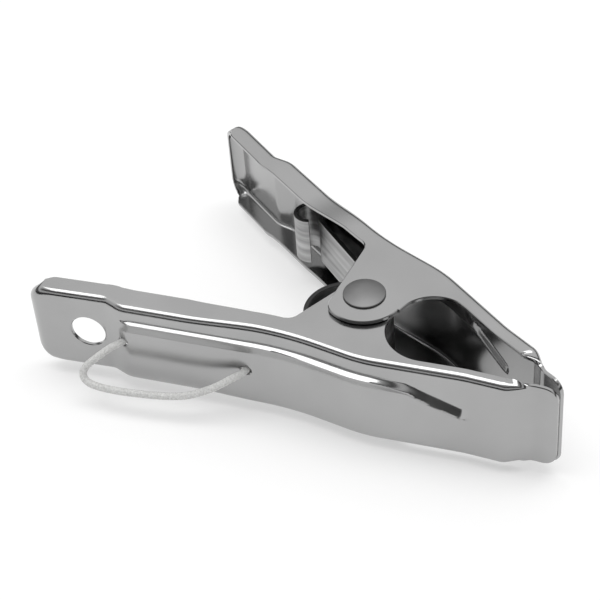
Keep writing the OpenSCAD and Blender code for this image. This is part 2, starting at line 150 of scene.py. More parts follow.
# Length, slope and following bend radius of each stretch of the web, from lip to tip
STRETCHES = [
    (7.0, LIP_ANGLE, 4.0),
    (7.5, 45.0, 5.5),
    (11.6, 15.0, 40.0),
    (28.6, JAW_ANGLE, 45.0),
    (24.0, 7.0, 90.0),
    (48.6, HANDLE_ANGLE, 9.0),
    (5.9, -4.4, 4.0),
    (23.6, TIP_ANGLE, TIP_ROLL_R),
    (TIP_ROLL_R * tand(TIP_ROLL / 2) + TIP_END_FLAT, TIP_ANGLE - TIP_ROLL, 0.0),
]
LAST = len(STRETCHES) - 1


# The web's outer face as alternate lines and arcs

def turn(i):
    """Change of slope after stretch i."""
    if i < 0 or i == LAST:
        return 0.0
    return STRETCHES[i + 1][1] - STRETCHES[i][1]


def tangent(i):
    """What the bend after stretch i takes off each of its two neighbours."""
    return STRETCHES[i][2] * tand(abs(turn(i)) / 2)


# Length and curve of each line and arc
RUNS = []
for i, (length, _, radius) in enumerate(STRETCHES):
    RUNS.append((length - tangent(i - 1) - tangent(i), 0.0))
    if i == LAST:
        RUNS.append((0.0, 0.0))
    else:
        RUNS.append((radius * abs(turn(i)) / RAD, math.copysign(RAD / radius, turn(i))))


def go(start, length, curve):
    """Place and slope after a length of even curve."""
    x, y, a = start
    to = a + length * curve
    if curve == 0:
        return (x - length * cosd(to), y + length * sind(to), to)
    return (x - (sind(to) - sind(a)) * RAD / curve, y - (cosd(to) - cosd(a)) * RAD / curve, to)


RUN_STARTS = []
RUN_S = []
place = (JAW_REACH, JAW_GAP / 2 + SHEET_T * cosd(LIP_ANGLE), LIP_ANGLE)
along = 0.0
for length, curve in RUNS:
    RUN_STARTS.append(place)
    RUN_S.append(along)
    place = go(place, length, curve)
    along += length


def web(s):
    """Place and slope of the web's outer face at a distance s from the lip's edge."""
    i = max(k for k in range(len(RUNS)) if k == 0 or RUN_S[k] <= s)
    return go(RUN_STARTS[i], s - RUN_S[i], RUNS[i][1])


def inside(s, depth):
    x, y, a = web(s)
    return (x - depth * sind(a), y - depth * cosd(a))


# Distances along the web and places across it, as in the part's source

NOSE_S = RUN_S[2]
JAW_FRONT_S = RUN_S[4]
JAW_MID_S = RUN_S[6]
SHOULDER_S = RUN_S[8]
HANDLE_S = RUN_S[10]
STEP_S = RUN_S[12]
TIP_S = RUN_S[14]
TIP_ROLL_S = RUN_S[15]
WEB_LEN = RUN_S[-1]
FLANGE_END_S = NOSE_S - 1
BEAD_START_S = JAW_FRONT_S + 8.5
BEAD_END_S = STEP_S - 1.2
ROLL_FLANGE = 0.74 * TIP_ROLL_R
HANG_S = TIP_S - tangent(6) + HANG_FROM_STEP
HANG_Z = 0.5
TIP_HOLE_S = (RUN_S[11] + RUN_S[12]) / 2
TIP_HOLE_Z = 0.8
PIVOT_HOLE_S = HANDLE_S + 1.5
PIVOT_HOLE_Z = -1.8
MID_X = (JAW_REACH + web(WEB_LEN)[0]) / 2
MID_Z = REAR_HW + HEAD_PLAY + HEAD_H


def metres(x, y, z):
    """A point in the shared frame, from mm about the rivet's axis and half way up the clip."""
    return Vector((x - MID_X, y, z + MID_Z)) / 1000


# Form of the sheet across the web, in mm: the scene's own easing of the nose and the tip

WIDEN_LEAD = 3.0
TIP_ROUND_LEAD = 1.0
TIP_ROUND_SHARE = 0.6
NOSE_BEND_R = 0.7
NOSE_BEND_LEAD = 1.0
NOSE_BEND_LEN = 8.0
TIP_BEND_R = ROLL_FLANGE + 0.6
TIP_BEND_LEAD = 4.0
TIP_BEND_REST = 2.0
ROOT_RISE_LEN = 6.0
TIP_END_FLANGE = ROLL_FLANGE + 0.9
TIP_FLANGE_LEAD = 3.0
TIP_FLANGE_RUN = 1.5
FOLD_LEAD = 0.6
FOLD_LEN = 6.4


def half_width(s, hw, lip):
    jaw = mix(lip, hw, smooth(s, NOSE_S, JAW_FRONT_S))
    wide = mix(jaw, HANDLE_HW, smooth(s, HANDLE_S - WIDEN_LEAD, HANDLE_S + WIDEN_LEN))
    rounding = 1 - cosd(90 * part_way(s, TIP_ROLL_S - TIP_ROUND_LEAD, WEB_LEN))
    return wide - TIP_ROUND_SHARE * TIP_CORNER * rounding


def side_bend(s):
    """Radius of the side bend, which is tight at the nose and opens out round the tip's rolled end."""
    nose = smooth(s, FLANGE_END_S - NOSE_BEND_LEAD, FLANGE_END_S + NOSE_BEND_LEN)
    tip = smooth(s, TIP_ROLL_S - TIP_BEND_LEAD, WEB_LEN - TIP_BEND_REST)
    return mix(mix(NOSE_BEND_R, BEND_R, nose), TIP_BEND_R, tip)


def flange(s, jaw):
    """Depth of the flange's edge below the web's outer face."""
    if s < SHOULDER_S:
        return jaw
    if s < HANDLE_S:
        return mix(jaw, ROOT_FLANGE, part_way(s, SHOULDER_S, SHOULDER_S + ROOT_RISE_LEN))
    if s < STEP_S:
        return mix(ROOT_FLANGE, HANDLE_FLANGE, part_way(s, HANDLE_S, HANDLE_S + WIDEN_LEN))
    if s < TIP_S:
        return mix(HANDLE_FLANGE, TIP_FLANGE, part_way(s, STEP_S, TIP_S))
    tip = smooth(s, TIP_ROLL_S - TIP_FLANGE_LEAD, TIP_ROLL_S + TIP_FLANGE_RUN)
    return mix(TIP_FLANGE, TIP_END_FLANGE, tip)


def fold(s):
    """How far the side of the sheet is folded up: flat at the lip, square from the nose on."""
    return 90 * smooth(s, FLANGE_END_S - FOLD_LEAD, FLANGE_END_S + FOLD_LEN)


def corner_cut(s):
    u = max(0.0, LIP_CORNER_R - s)
    return LIP_CORNER_R - math.sqrt(LIP_CORNER_R * LIP_CORNER_R - u * u)


# The pressed bead: lengths along it in mm, and shares of its taper
BEAD_LEDGE_FROM = 10.0
BEAD_LEDGE_TO = 28.0
BEAD_LOW_LEN = 10.0
BEAD_END_LEN = 1.6 * BEAD_ROUND
BEAD_END_PAST = 0.4
BEAD_START_SHARE = 0.14
BEAD_WIDE_SHARE = 0.5
# At its jaw end, along its ledge and on the handle: share of its height, and place of its crest
BEAD_RISE = (1.45, 1.3, 0.92)
BEAD_CREST = (-0.42, 0.68, 0.77)
# Share of its width at the jaw end and beyond, and how flat its slopes are
BEAD_WIDTH = (1.05, 1.1)
BEAD_FLATNESS = 0.85


def bead(s, z):
    """Height of the bead: a broad upper slope at its jaw end, then a steep ledge over a long slope."""
    run = part_way(s, BEAD_START_S, BEAD_START_S + BEAD_TAPER)
    half = BEAD_W / 2 * mix(*BEAD_WIDTH, smooth(run, 0, BEAD_WIDE_SHARE))
    u = (z - BEAD_FROM_MID + BEAD_RUN_DOWN * (1 - run)) / half
    if abs(u) >= 1:
        return 0.0
    ledge = smooth(s, BEAD_START_S + BEAD_LEDGE_FROM, BEAD_START_S + BEAD_LEDGE_TO)
    low = smooth(s, SHOULDER_S, HANDLE_S + BEAD_LOW_LEN)
    rise, crest = (mix(mix(a, b, ledge), c, low) for a, b, c in (BEAD_RISE, BEAD_CREST))
    end = smooth(s, BEAD_END_S - BEAD_END_LEN, BEAD_END_S + BEAD_END_PAST)
    up = BEAD_H * rise * smooth(run, 0, BEAD_START_SHARE) * (1 - end)
    t = (1 - u) / (1 - crest) if u > crest else (1 + u) / (1 + crest)
    return up * mix(smooth(t, 0, 1), t, BEAD_FLATNESS)


# Mesh helpers

SHARP_ANGLE = 38


def new_object(name, data):
    obj = bpy.data.objects.new(name, data)
    bpy.context.scene.collection.objects.link(obj)
    return obj


def finish_mesh(bm, name, sharp=SHARP_ANGLE):
    bmesh.ops.recalc_face_normals(bm, faces=bm.faces)
    for f in bm.faces:
        f.smooth = True
    mesh = bpy.data.meshes.new(name)
    bm.to_mesh(mesh)
    bm.free()
    mesh.set_sharp_from_angle(angle=math.radians(sharp))
    return new_object(name, mesh)


def even_normals(obj):
    obj.modifiers.new("even_normals", "WEIGHTED_NORMAL").keep_sharp = True


def face(bm, *verts):
    kept = []
    for v in verts:
        if v not in kept:
            kept.append(v)
    if len(kept) > 2 and bm.faces.get(kept) is None:
        bm.faces.new(kept)


def strip(bm, a, b, closed=False):
    n = len(a)
    for i in range(n if closed else n - 1):
        j = (i + 1) % n
        face(bm, a[i], a[j], b[j], b[i])


def loop_edges(bm, verts):
    edges = []
    for i, v in enumerate(verts):
        w = verts[(i + 1) % len(verts)]
        e = bm.edges.get((v, w))
        edges.append(e if e else bm.edges.new((v, w)))
    return edges


# Edge of an ear, in the plane across the rivet

EAR_FLANGE_FROM_S = HANDLE_S - 7
EAR_FLANGE_TO_S = HANDLE_S - 1
EAR_ROUND_LEN = 2.4
FILLET_STEPS = 12
REAR_EDGE_STEPS = 9
EAR_ROUND_STEPS = 8
EAR_ARC_STEPS = 48


def angle(v):
    return math.atan2(v.y, v.x)


def arc(mid, r, a0, a1, steps, way):
    """Points of an arc, each with the way into the sheet: outwards for 1 and inwards for -1."""
    ways = [towards(mix(a0, a1, k / steps)) for k in range(steps + 1)]
    return [(mid + n * r, n * way) for n in ways]


def ear_fillet(foot, up):
    """Round between the flange of the handle and the ear's rear edge, and where it leaves the flange."""
    on_flange = Vector(inside(EAR_FLANGE_FROM_S, ROOT_FLANGE))
    along_flange = (Vector(inside(EAR_FLANGE_TO_S, ROOT_FLANGE)) - on_flange).normalized()
    gap = on_flange - foot
    corner = foot + up * (gap.cross(along_flange) / up.cross(along_flange))
    half = math.acos(-up.dot(along_flange)) / 2
    mid = corner + (along_flange - up).normalized() * EAR_FILLET_R / math.sin(half)
    first = corner + along_flange * EAR_FILLET_R / math.tan(half)
    last = corner - up * EAR_FILLET_R / math.tan(half)
    a0 = angle(first - mid)
    a1 = a0 + (angle(last - mid) - a0 + math.pi) % (2 * math.pi) - math.pi
    return first, arc(mid, EAR_FILLET_R, a0, a1, FILLET_STEPS, 1)[1:]


def ear_rear(foot, up, start):
    """Straight rear edge and the rounded corner below it, and the angle where the ear's round begins."""
    b = foot.x * up.x
    low = foot + up * (-b - math.sqrt(b * b - EAR_BACK * EAR_BACK + EAR_R * EAR_R))
    p0 = low + up * EAR_ROUND_LEN
    round_from = angle(low) + EAR_ROUND_LEN / EAR_R
    p2 = towards(round_from) * EAR_R
    way = Vector((cosd(EAR_LEAN), sind(EAR_LEAN)))
    pts = [(start.lerp(p0, k / REAR_EDGE_STEPS), way) for k in range(1, REAR_EDGE_STEPS + 1)]
    for k in range(1, EAR_ROUND_STEPS + 1):
        u = k / EAR_ROUND_STEPS
        p = p0 * (1 - u) ** 2 + low * 2 * u * (1 - u) + p2 * u * u
        d = ((low - p0) * (1 - u) + (p2 - low) * u).normalized()
        pts.append((p, Vector((-d.y, d.x))))
    return pts, round_from


def ear_edge(jaw):
    """Edge from the handle's flange to the jaw's: its ends, and points with the way into the sheet."""
    foot = Vector((-EAR_BACK, 0))
    up = Vector((-sind(EAR_LEAN), cosd(EAR_LEAN)))
    first, pts = ear_fillet(foot, up)
    rear_pts, round_from = ear_rear(foot, up, pts[-1][0])
    throat = Vector(THROAT_MID)
    far = throat.length
    x, y, a = web(JAW_MID_S)
    throat_r = (x - throat.x) * sind(a) + (y - throat.y) * cosd(a) - jaw
    # A wide throat meets the round of the ear, and a straight edge leads to a narrow one
    meets = far < EAR_R + throat_r
    round_to = 0.0
    if meets:
        c = (far * far + EAR_R * EAR_R - throat_r * throat_r) / (2 * far * EAR_R)
        round_to = angle(throat) - math.acos(c)
    throat_from = angle(towards(round_to) * EAR_R - throat) % (2 * math.pi)
    throat_to = math.radians(90 - JAW_ANGLE)
    throat_pts = arc(throat, throat_r, throat_from, throat_to, EAR_ARC_STEPS, 1)
    pts += rear_pts
    pts += arc(Vector((0, 0)), EAR_R, round_from, round_to, EAR_ARC_STEPS, -1)[1:]
    pts += throat_pts[1:-1] if meets else throat_pts[:-1]
    return first, throat_pts[-1][0], pts


# A pressed lever: channel, ears and lip as one closed sheet

# Upper and lower side, and the sheet's two skins with their depth
SIDES = (1, -1)
SKINS = (("out", 0.0), ("in", SHEET_T))
CUT_EDGE = 0.22
BEND_STEPS = 10
WEB_STEPS = 100
FLANGE_STEPS = 3
BORE_SIDES = 64
# Rows of points along the web: usual and least step, step at the nose, and degrees of a bend
ROW_STEP = 0.75
LEAST_ROW_STEP = 0.12
NOSE_ROW_STEP = 0.3
NOSE_ROWS = 26
LIP_CORNER_ROWS = 12
BEAD_END_ROWS = 10
BEND_ROW_ANGLE = 3
# Columns across the web: shares of them, and heights between which most of them lie
COLUMNS_ABOVE = 0.06
COLUMNS_TO_LOW = 0.82
COLUMNS_OVER_BEAD = 2.4
COLUMNS_TOP_SHARE = 0.95
COLUMNS_LOW_Z = -1.6
# How late the flange reaches its depth as it folds up, and the sides that count as flat
FOLD_REACH_POWER = 2.5
FLAT_FOLD = 0.01
FLAT_WIDTH = 0.02
# Where on the web the ear's edge at the handle is looked for
EAR_SEARCH_BACK = 14
EAR_SEARCH_ON = 8
SEARCH_STEPS = 4000


def nearest_s(point, jaw, lo, hi):
    """Distance along the web at which the flange's edge comes nearest to a point."""
    return min(
        (lo + (hi - lo) * k / SEARCH_STEPS for k in range(SEARCH_STEPS + 1)),
        key=lambda s: math.dist(inside(s, flange(s, jaw)), point),
    )


def web_column(zf, u):
    """Height of a column of points on the web; three quarters of them lie where the bead runs."""
    top = min(BEAD_FROM_MID + COLUMNS_OVER_BEAD, COLUMNS_TOP_SHARE * zf)
    if u < COLUMNS_ABOVE:
        return mix(zf, top, u / COLUMNS_ABOVE)
    if u < COLUMNS_TO_LOW:
        return mix(top, COLUMNS_LOW_Z, part_way(u, COLUMNS_ABOVE, COLUMNS_TO_LOW))
    return mix(COLUMNS_LOW_Z, -zf, part_way(u, COLUMNS_TO_LOW, 1))


def row_places(ear_from, ear_to):
    """Distances of the rows, closer together in tight bends, at the nose and at the lip's corners."""
    places = [0.0, WEB_LEN, ear_from, ear_to]
    more = [
        LIP_CORNER_R * (1 - cosd(90 * k / LIP_CORNER_ROWS)) for k in range(1, LIP_CORNER_ROWS + 1)
    ]
    more += [ROW_STEP * k for k in range(1, int(WEB_LEN / ROW_STEP) + 1)]
    more += [FLANGE_END_S - NOSE_BEND_LEAD + NOSE_ROW_STEP * k for k in range(NOSE_ROWS)]
    for i in range(LAST):
        length = RUNS[2 * i + 1][0]
        n = max(2, math.ceil(abs(turn(i)) / BEND_ROW_ANGLE))
        more += [RUN_S[2 * i + 1] + length * k / n for k in range(n + 1)]
    more += [
        BEAD_END_S - BEAD_ROUND * (1 - cosd(90 * k / BEAD_END_ROWS)) for k in range(BEAD_END_ROWS + 1)
    ]
    for s in more:
        if 0 < s < WEB_LEN and min(abs(s - p) for p in places) > LEAST_ROW_STEP:
            places.append(s)
    return sorted(places)


def sheet_row(put, s, hw, lip, jaw, has_flange):
    """A row of points across the sheet: on both skins the web and two bends, and flanges with rims."""
    x, y, a = web(s)
    beta = fold(s)
    bend = side_bend(s)
    zf = half_width(s, hw, lip) - bend
    reach = mix(bend, flange(s, jaw) - bend, (beta / 90) ** FOLD_REACH_POWER)
    bend_end_depth = bend * (1 - cosd(beta))
    bend_end_z = zf + bend * sind(beta)
    narrowed = (lip - corner_cut(s)) / lip

    def at(depth, z):
        return put(x - depth * sind(a), y - depth * cosd(a), z * narrowed)

    def on_bend(side, d, share):
        if beta < FLAT_FOLD:
            # A flat side has no bend, so its points are set by height alone
            return at(d, side * (zf + FLAT_WIDTH * share))
        r = bend - d
        return at(bend - r * cosd(beta * share), side * (zf + r * sind(beta * share)))

    def on_flange(side, d, far):
        depth = bend_end_depth + far * sind(beta) + d * cosd(beta)
        return at(depth, side * (bend_end_z + far * cosd(beta) - d * sind(beta)))

    row = {"s": s}
    for side in SIDES:
        for skin, d in SKINS:
            row[skin, side, "bend"] = [
                on_bend(side, d, 1 - q / BEND_STEPS) for q in range(BEND_STEPS + 1)
            ]
            if has_flange:
                row[skin, side, "flange"] = [
                    on_flange(side, d, (reach - CUT_EDGE) * q / FLANGE_STEPS)
                    for q in range(1, FLANGE_STEPS + 1)
                ]
        if has_flange:
            row[side, "rim"] = [
                row["out", side, "flange"][-1],
                on_flange(side, CUT_EDGE, reach),
                on_flange(side, SHEET_T - CUT_EDGE, reach),
                row["in", side, "flange"][-1],
            ]
    for skin, d in SKINS:
        heights = [web_column(zf, q / WEB_STEPS) for q in range(1, WEB_STEPS)]
        middle = [at(d - bead(s, z), z) for z in heights]
        row[skin, "web"] = [row[skin, 1, "bend"][-1], *middle, row[skin, -1, "bend"][-1]]
    return row


def join_rows(bm, r0, r1, at_ear):
    for skin, _ in SKINS:
        strip(bm, r0[skin, "web"], r1[skin, "web"])
        for side in SIDES:
            strip(bm, r0[skin, side, "bend"], r1[skin, side, "bend"])
            if not at_ear:
                lines = [[r[skin, side, "bend"][0], *r[skin, side, "flange"]] for r in (r0, r1)]
                strip(bm, *lines)
    if not at_ear:
        for side in SIDES:
            strip(bm, r0[side, "rim"], r1[side, "rim"])


def close_end(bm, row):
    skins = []
    for skin, _ in SKINS:
        top = row[skin, 1, "flange"][::-1] + row[skin, 1, "bend"]
        low = row[skin, -1, "bend"][::-1] + row[skin, -1, "flange"]
        skins.append(top + row[skin, "web"][1:-1] + low)
    strip(bm, *skins)
    for side in SIDES:
        face(bm, *row[side, "rim"])


def add_ear(bm, put, rows, edge_pts, hw, bore_r, side):
    """A flat plate with a bore, between the side bend and the ear's edge with its broken corners."""
    z_out = side * hw
    z_in = side * (hw - SHEET_T)
    c = side * CUT_EDGE
    edge = [[corner] for corner in rows[-1][side, "rim"]]
    for p, n in edge_pts:
        back = p + n * CUT_EDGE
        for line, q, z in zip(edge, (back, p, p, back), (z_out, z_out - c, z_in + c, z_in)):
            line.append(put(q.x, q.y, z))
    for line, corner in zip(edge, rows[0][side, "rim"]):
        line.append(corner)
    for line, next_line in zip(edge, edge[1:]):
        strip(bm, line, next_line)
    bores = []
    for skin, z, line in (("out", z_out, edge[0]), ("in", z_in, edge[-1])):
        bore = [put(bore_r * u, bore_r * v, z) for u, v in circle(BORE_SIDES)]
        bores.append(bore)
        outline = [r[skin, side, "bend"][0] for r in rows]
        outline += rows[-1][skin, side, "flange"][:-1]
        outline += line
        outline += rows[0][skin, side, "flange"][-2::-1]
        edges = loop_edges(bm, outline) + loop_edges(bm, bore)
        bmesh.ops.triangle_fill(bm, use_beauty=True, edges=edges, normal=(0, 0, side))
    strip(bm, *bores, closed=True)


def lever(name, hw, lip, jaw, bore_r, flip):
    bm = bmesh.new()

    def put(x, y, z):
        return bm.verts.new(metres(x, flip * y, z))

    ear_first, ear_last, edge_pts = ear_edge(jaw)
    ear_from = nearest_s(ear_last, jaw, JAW_MID_S, SHOULDER_S)
    ear_to = nearest_s(ear_first, jaw, HANDLE_S - EAR_SEARCH_BACK, HANDLE_S + EAR_SEARCH_ON)
    rows = []
    for s in row_places(ear_from, ear_to):
        has_flange = not ear_from < s < ear_to
        rows.append(sheet_row(put, s, hw, lip, jaw, has_flange))
    for r0, r1 in zip(rows, rows[1:]):
        join_rows(bm, r0, r1, at_ear=r0["s"] >= ear_from and r1["s"] <= ear_to)
    for row in (rows[0], rows[-1]):
        close_end(bm, row)
    ear_rows = [r for r in rows if ear_from <= r["s"] <= ear_to]
    for side in SIDES:
        add_ear(bm, put, ear_rows, edge_pts, hw, bore_r, side)
    return finish_mesh(bm, name)


# Holes of the front lever are cut with a spool, so that their edges are broken like the sheet's

# The front lever lies on the other side of the middle plane
FRONT_FLIP = -1
REAR_FLIP = 1
HOLE_SIDES = 72
# Depth of a ring of the spool below the sheet's face, and how much wider than the hole it is
SPOOL_HALF = [(-2.0, 2.2), (-0.05, 0.25), (0.2, 0.0)]


def spool(s, d, z):
    bm = bmesh.new()
    x, y, a = web(s)
    rings = []
    for depth, wider in SPOOL_HALF + [(SHEET_T - e, w) for e, w in SPOOL_HALF[::-1]]:
        r = d / 2 + wider
        ring = []
        for u, v in circle(HOLE_SIDES):
            px = x - r * u * cosd(a) - depth * sind(a)
            py = y + r * u * sind(a) - depth * cosd(a)
            ring.append(bm.verts.new(metres(px, FRONT_FLIP * py, z + r * v)))
        rings.append(ring)
    for r0, r1 in zip(rings, rings[1:]):
        strip(bm, r0, r1, closed=True)
    bm.faces.new(rings[0])
    bm.faces.new(rings[-1])
    return finish_mesh(bm, "cutter")


def cut_hole(obj, s, d, z):
    cutter = spool(s, d, z)
    cut = obj.modifiers.new("hole", "BOOLEAN")
    cut.operation = "DIFFERENCE"
    cut.solver = "EXACT"
    cut.object = cutter
    graph = bpy.context.evaluated_depsgraph_get()
    made = bpy.data.meshes.new_from_object(obj.evaluated_get(graph))
    obj.modifiers.remove(cut)
    used = (obj.data, cutter.data)
    obj.data = made
    bpy.data.objects.remove(cutter)
    for mesh in used:
        bpy.data.meshes.remove(mesh)


# A hair of room in the front bores, into which the rivet is pressed
PRESS_ROOM = 0.005

front = lever(
    "front_lever_sheet", FRONT_HW, FRONT_LIP_HW, FRONT_JAW_FLANGE, SHANK_D / 2 + PRESS_ROOM, FRONT_FLIP,
)
for hole_s, hole_d, hole_z in (
    (HANG_S, HANG_D, HANG_Z),
    (TIP_HOLE_S, CORD_HOLE_D, TIP_HOLE_Z),
    (PIVOT_HOLE_S, CORD_HOLE_D, PIVOT_HOLE_Z),
):
    cut_hole(front, hole_s, hole_d, hole_z)
front.data.set_sharp_from_angle(angle=math.radians(SHARP_ANGLE))
rear = lever(
    "rear_lever_sheet", REAR_HW, REAR_LIP_HW, REAR_JAW_FLANGE, SHANK_D / 2 + RIVET_PLAY, REAR_FLIP,
)
for obj in (front, rear):
    even_normals(obj)
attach(front, "front")
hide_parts("front_lever")
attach(rear, "rear")
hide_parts("rear_lever")


# Rivet: a turned shape with a low dome at each end

LATHE_SIDES = 96
DOME_STEPS = 14
DOME_SHARE = 0.75
HEAD_BREAK = 0.1
DOME_BREAK_H = 0.12
DOME_BREAK_R = 0.08


def lathe(name, profile):
    bm = bmesh.new()
    rings = []
    for r, z in profile:
        if r == 0:
            rings.append([bm.verts.new(metres(0, 0, z))])
        else:
            rings.append([bm.verts.new(metres(r * u, r * v, z)) for u, v in circle(LATHE_SIDES)])
    for r0, r1 in zip(rings, rings[1:]):
        for k in range(LATHE_SIDES):
            j = (k + 1) % LATHE_SIDES
            face(bm, r0[k % len(r0)], r0[j % len(r0)], r1[j % len(r1)], r1[k % len(r1)])
    return finish_mesh(bm, name)


def rivet_half():
    """Profile from the middle of the shank to the top of a head, as radius and height."""
    seat = REAR_HW + HEAD_PLAY
    head_r = HEAD_D / 2
    dome_h = DOME_SHARE * HEAD_H
    dome_r = (HEAD_D * HEAD_D / 4 + dome_h * dome_h) / (2 * dome_h)
    pts = [(SHANK_D / 2, 0.0), (SHANK_D / 2, seat), (head_r - HEAD_BREAK, seat)]
    pts += [(head_r, seat + HEAD_BREAK), (head_r, seat + HEAD_H - dome_h - DOME_BREAK_H)]
    for k in range(1, DOME_STEPS):
        r = (head_r - DOME_BREAK_R) * cosd(90 * k / DOME_STEPS)
        pts.append((r, seat + HEAD_H - dome_r + math.sqrt(dome_r * dome_r - r * r)))
    return pts + [(0.0, seat + HEAD_H)]


half = rivet_half()
rivet = lathe("pivot_rivet_turned", [(r, -z) for r, z in half[:0:-1]] + half)
even_normals(rivet)
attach(rivet, "front")
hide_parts("pivot_rivet")


# Band spring: rear eye, leg, roll of a turn and a half, and the narrow leg through the window

ROLL_MID = Vector((SHANK_D / 2 + ROLL_GAP - ROLL_R, 0))
INNER_R = ROLL_R + BAND_T / 2
OUTER_R = INNER_R + BAND_T + TURN_GAP
EYE_STEPS = 72
NECK_STEPS = 12
LEG_STEP = 0.8
TURN_STEP = 2.5
SEARCH_END = 0.001


def web_at_x(x):
    lo, hi = HANDLE_S, STEP_S
    while hi - lo > SEARCH_END:
        mid = (lo + hi) / 2
        if web(mid)[0] > x:
            lo = mid
        else:
            hi = mid
    return (lo + hi) / 2


EYE_MID = Vector(inside(web_at_x(-LEG_REACH), SHEET_T + EYE_GAP + BAND_T / 2 + EYE_R))


def leg_heading(r):
    d = ROLL_MID - EYE_MID
    return math.degrees(math.atan2(d.y, d.x) + math.asin((r - EYE_OFF) / d.length))


# Degrees of wrap: the whole roll, where it leaves the outer turn and reaches the inner one,
# where the band turns narrow, and the end of the stretch in which the window lies
REAR_HEADING = leg_heading(OUTER_R)
FRONT_HEADING = leg_heading(INNER_R)
WRAP = 360 + REAR_HEADING + FRONT_HEADING + 180
SPIRAL_FROM = REAR_HEADING + FRONT_HEADING + 200
SPIRAL_TO = 355.0
FULL_TO = 372.0
WINDOW_BEFORE = 200.0


def roll_pt(w):
    a = REAR_HEADING + 90 - w
    r = mix(OUTER_R, INNER_R, part_way(w, SPIRAL_FROM, SPIRAL_TO))
    return (ROLL_MID.x + r * cosd(a), ROLL_MID.y + r * sind(a), a - 90)


LEAVE = roll_pt(WRAP)


def eye_line(heading):
    neck = math.degrees(math.acos((EYE_OFF + NECK_R) / (EYE_R + NECK_R)))
    reach = (EYE_R + NECK_R) * sind(neck)
    pts = []
    for k in range(EYE_STEPS + 1):
        a = heading + 90 - neck + EYE_TURN * (1 - k / EYE_STEPS)
        pts.append((EYE_MID.x + EYE_R * cosd(a), EYE_MID.y + EYE_R * sind(a), a - 90))
    for k in range(1, NECK_STEPS + 1):
        b = neck * (1 - k / NECK_STEPS)
        u = reach - NECK_R * sind(b)
        v = EYE_OFF + NECK_R * (1 - cosd(b))
        x = EYE_MID.x + u * cosd(heading) - v * sind(heading)
        y = EYE_MID.y + u * sind(heading) + v * cosd(heading)
        pts.append((x, y, heading - b))
    return pts


def leg_line(a, b):
    n = max(2, round(math.dist(a[:2], b[:2]) / LEG_STEP))
    return [(mix(a[0], b[0], k / n), mix(a[1], b[1], k / n), b[2]) for k in range(1, n)]


def in_window(w):
    """Whether the outer turn meets the narrow leg there, with room round the leg."""
    if w > WINDOW_BEFORE:
        return False
    x, y, h = LEAVE
    a = REAR_HEADING + 90 - w
    offs = []
    for r in (OUTER_R - BAND_T / 2, OUTER_R + BAND_T / 2):
        px = ROLL_MID.x + r * cosd(a) - x
        py = ROLL_MID.y + r * sind(a) - y
        offs.append(py * cosd(h) - px * sind(h))
        ahead = px * cosd(h) + py * sind(h)
    room = BAND_T / 2 + WINDOW_GAP
    return ahead > 0 and min(offs) < room and max(offs) > -room


def turn_form(w):
    if w > FULL_TO:
        return "narrow"
    return "window" if in_window(w) else "wide"


def band_line():
    """Middle line of the band from eye to eye: points with their heading, and the band's form there."""
    rear_eye = eye_line(REAR_HEADING)
    front_eye = [(x, -y, 180 - h) for x, y, h in reversed(eye_line(FRONT_HEADING))]
    n = round(WRAP / TURN_STEP)
    wraps = sorted([WRAP * k / n for k in range(n + 1)] + [FULL_TO])
    line = [(p, "wide") for p in rear_eye + leg_line(rear_eye[-1], roll_pt(0))]
    line += [(roll_pt(w), turn_form(w)) for w in wraps]
    return line + [(p, "narrow") for p in leg_line(LEAVE, front_eye[0]) + front_eye]


HALF_BAND = BAND_W / 2
HALF_NARROW = NARROW_W / 2
HALF_SLOT = HALF_NARROW + WINDOW_GAP
SIDE_COLUMNS = 5
NARROW_COLUMNS = 8
SPRING_SHARP_ANGLE = 50


def band_columns():
    outer = [mix(HALF_SLOT, HALF_BAND, k / SIDE_COLUMNS) for k in range(SIDE_COLUMNS + 1)]
    narrow = [
        mix(-HALF_NARROW, HALF_NARROW, k / NARROW_COLUMNS) for k in range(NARROW_COLUMNS + 1)
    ]
    return [-z for z in outer[::-1]] + narrow + outer


def band_sheet(name, line, columns):
    """The band as cells between its line's points and its columns, walled where no cell follows."""
    bm = bmesh.new()
    corners = {}

    def corner(k, j, skin):
        if (k, j, skin) not in corners:
            (x, y, h), _ = line[k]
            d = skin * BAND_T / 2
            corners[k, j, skin] = bm.verts.new(metres(x - d * sind(h), y + d * cosd(h), columns[j]))
        return corners[k, j, skin]

    def is_cell(k, j):
        if not (0 <= k < len(line) - 1 and 0 <= j < len(columns) - 1):
            return False
        forms = (line[k][1], line[k + 1][1])
        z = abs(columns[j] + columns[j + 1]) / 2
        if "narrow" in forms:
            return z < HALF_NARROW
        if forms == ("window", "window"):
            return z > HALF_SLOT
        return True

    def add_cell(k, j):
        for skin in SIDES:
            ring = ((k, j), (k + 1, j), (k + 1, j + 1), (k, j + 1))
            face(bm, *(corner(*at, skin) for at in ring))
        for dk, dj, a, b in (
            (-1, 0, (k, j), (k, j + 1)), (1, 0, (k + 1, j), (k + 1, j + 1)),
            (0, -1, (k, j), (k + 1, j)), (0, 1, (k, j + 1), (k + 1, j + 1)),
        ):
            if not is_cell(k + dk, j + dj):
                face(bm, corner(*a, 1), corner(*b, 1), corner(*b, -1), corner(*a, -1))

    for k in range(len(line) - 1):
        for j in range(len(columns) - 1):
            if is_cell(k, j):
                add_cell(k, j)
    return finish_mesh(bm, name, SPRING_SHARP_ANGLE)


# Broken edges of the band, whose width is in metres
BAND_EDGE = 0.0002
BAND_EDGE_STEPS = 2
BAND_EDGE_ANGLE = 60

spring = band_sheet("band_spring_rolled", band_line(), band_columns())
broken = spring.modifiers.new("edges", "BEVEL")
broken.width = BAND_EDGE
broken.segments = BAND_EDGE_STEPS
broken.limit_method = "ANGLE"
broken.angle_limit = math.radians(BAND_EDGE_ANGLE)
even_normals(spring)
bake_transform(spring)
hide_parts("band_spring")


